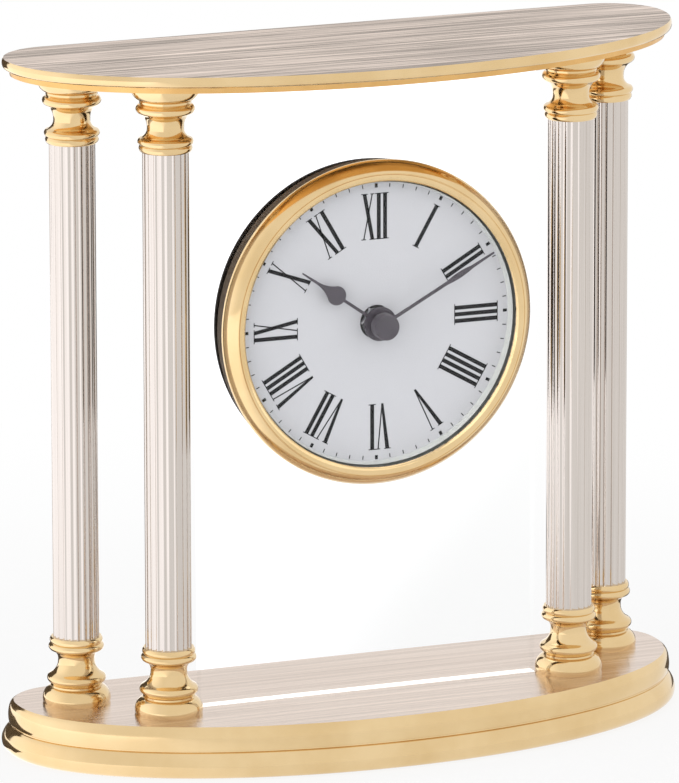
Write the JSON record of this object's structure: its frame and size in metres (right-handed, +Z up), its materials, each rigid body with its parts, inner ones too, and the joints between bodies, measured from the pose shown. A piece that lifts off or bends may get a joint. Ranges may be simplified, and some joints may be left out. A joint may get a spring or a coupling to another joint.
{
  "type": "column table clock",
  "caption": "Table clock with a D-shaped brass base and top plate on four fluted columns, a glass panel between the front pair and a round quartz insert with a brass bezel.",
  "frame": {"origin": "on the table, at the middle of the clock's bounding box seen from above", "axes": "+X to the right as the dial is read, +Y to the back, +Z up"},
  "size_m": [0.1746, 0.0638, 0.1723],
  "materials": {
    "polished_brass": "polished and lacquered",
    "satin_brass": "fine brushed along the width, lacquered",
    "silver_plate": "polished silver-coloured plating",
    "clear_glass": "clear, polished edges",
    "crystal_lens": "moulded clear lens",
    "steel": "bright zinc plated",
    "cast_iron": "as cast, painted",
    "felt": "dark green wool felt",
    "dial_white": "matt white with a printed chapter ring",
    "hand_grey": "dark grey, semi-gloss",
    "reflector_silver": "satin",
    "housing_plastic": "dark moulded plastic",
    "movement_plastic": "black moulded plastic",
    "wheel_plastic": "natural acetal",
    "black_rubber": "matt",
    "pale_cork": "pale soft strip",
    "train_brass": "plain",
    "copper_wire": "enamelled copper wire",
    "board_green": "solder mask",
    "cell_jacket": "plain jacket, bare steel ends",
    "magnet_black": "ferrite"
  },
  "bodies": {
    "clock_case": {"base_felt": "felt", "base_casting": "satin_brass", "base_ballast": "cast_iron", "tie_rods": "steel", "base_nuts": "steel", "base_washers": "steel", "glass_panel": "clear_glass", "glass_seat_strip": "pale_cork", "glass_top_strip": "pale_cork", "top_plate": "satin_brass", "bezel": "polished_brass", "crystal": "crystal_lens", "reflector_ring": "reflector_silver", "dial": "dial_white", "insert_housing": "housing_plastic", "gasket_ring": "black_rubber", "hand_nut": "steel", "movement_front_shell": "movement_plastic", "movement_rear_shell": "movement_plastic", "train_bridge": "movement_plastic", "bridge_screws": "steel", "stator": "steel", "coil_bobbin": "wheel_plastic", "coil_winding": "copper_wire", "circuit_board": "board_green", "battery": "cell_jacket", "battery_contact_positive": "steel", "battery_contact_negative": "steel", "column_foot_front_left": "polished_brass", "column_foot_front_right": "polished_brass", "column_foot_back_left": "polished_brass", "column_foot_back_right": "polished_brass", "column_shaft_front_left": "silver_plate", "column_shaft_front_right": "silver_plate", "column_shaft_back_left": "silver_plate", "column_shaft_back_right": "silver_plate", "column_capital_front_left": "polished_brass", "column_capital_front_right": "polished_brass", "column_capital_back_left": "polished_brass", "column_capital_back_right": "polished_brass"},
    "minute_works": {"cannon_pinion": "train_brass", "minute_hand": "hand_grey", "hand_cap": "hand_grey"},
    "hour_works": {"hour_wheel": "wheel_plastic", "hour_hand": "hand_grey"},
    "setting_works": {"motion_wheel": "wheel_plastic", "setting_knob": "movement_plastic"},
    "rotor_works": {"rotor": "magnet_black"},
    "intermediate_works": {"intermediate_wheel": "wheel_plastic"},
    "seconds_works": {"seconds_wheel": "wheel_plastic"},
    "third_works": {"third_wheel": "wheel_plastic"},
    "centre_works": {"centre_wheel": "wheel_plastic"},
    "door": {"battery_door": "movement_plastic"}
  },
  "joints": [
    {"name": "minute_hand_spin", "type": "hinge", "parent": "clock_case", "child": "minute_works", "pos_m": [0, -0.0082, 0.1061], "axis": [0, 1, 0], "continuous": true},
    {"name": "hour_hand_spin", "type": "hinge", "parent": "clock_case", "child": "hour_works", "pos_m": [0, -0.0082, 0.1061], "axis": [0, 1, 0], "continuous": true},
    {"name": "setting_spin", "type": "hinge", "parent": "clock_case", "child": "setting_works", "pos_m": [0.00705, -0.0082, 0.10867], "axis": [0, 1, 0], "continuous": true},
    {"name": "rotor_spin", "type": "hinge", "parent": "clock_case", "child": "rotor_works", "pos_m": [0.00487, -0.0082, 0.11521], "axis": [0, 1, 0], "continuous": true},
    {"name": "intermediate_spin", "type": "hinge", "parent": "clock_case", "child": "intermediate_works", "pos_m": [-0.00122, -0.0082, 0.11299], "axis": [0, 1, 0], "continuous": true},
    {"name": "seconds_spin", "type": "hinge", "parent": "clock_case", "child": "seconds_works", "pos_m": [0, -0.0082, 0.1061], "axis": [0, 1, 0], "continuous": true},
    {"name": "third_spin", "type": "hinge", "parent": "clock_case", "child": "third_works", "pos_m": [-0.0068, -0.0082, 0.1061], "axis": [0, 1, 0], "continuous": true},
    {"name": "centre_spin", "type": "hinge", "parent": "clock_case", "child": "centre_works", "pos_m": [0, -0.0082, 0.1061], "axis": [0, 1, 0], "continuous": true},
    {"name": "door_slide", "type": "slide", "parent": "clock_case", "child": "door", "axis": [0, 0, -1], "range_m": [0, 0.009]}
  ],
  "couplings": [
    {"joint": "hour_hand_spin", "follows": "minute_hand_spin", "ratio": 0.083333},
    {"joint": "setting_spin", "follows": "minute_hand_spin", "ratio": -0.33333},
    {"joint": "intermediate_spin", "follows": "rotor_spin", "ratio": -0.2},
    {"joint": "seconds_spin", "follows": "rotor_spin", "ratio": 0.033333},
    {"joint": "third_spin", "follows": "rotor_spin", "ratio": -0.0041667},
    {"joint": "centre_spin", "follows": "rotor_spin", "ratio": 0.00055556}
  ]
}
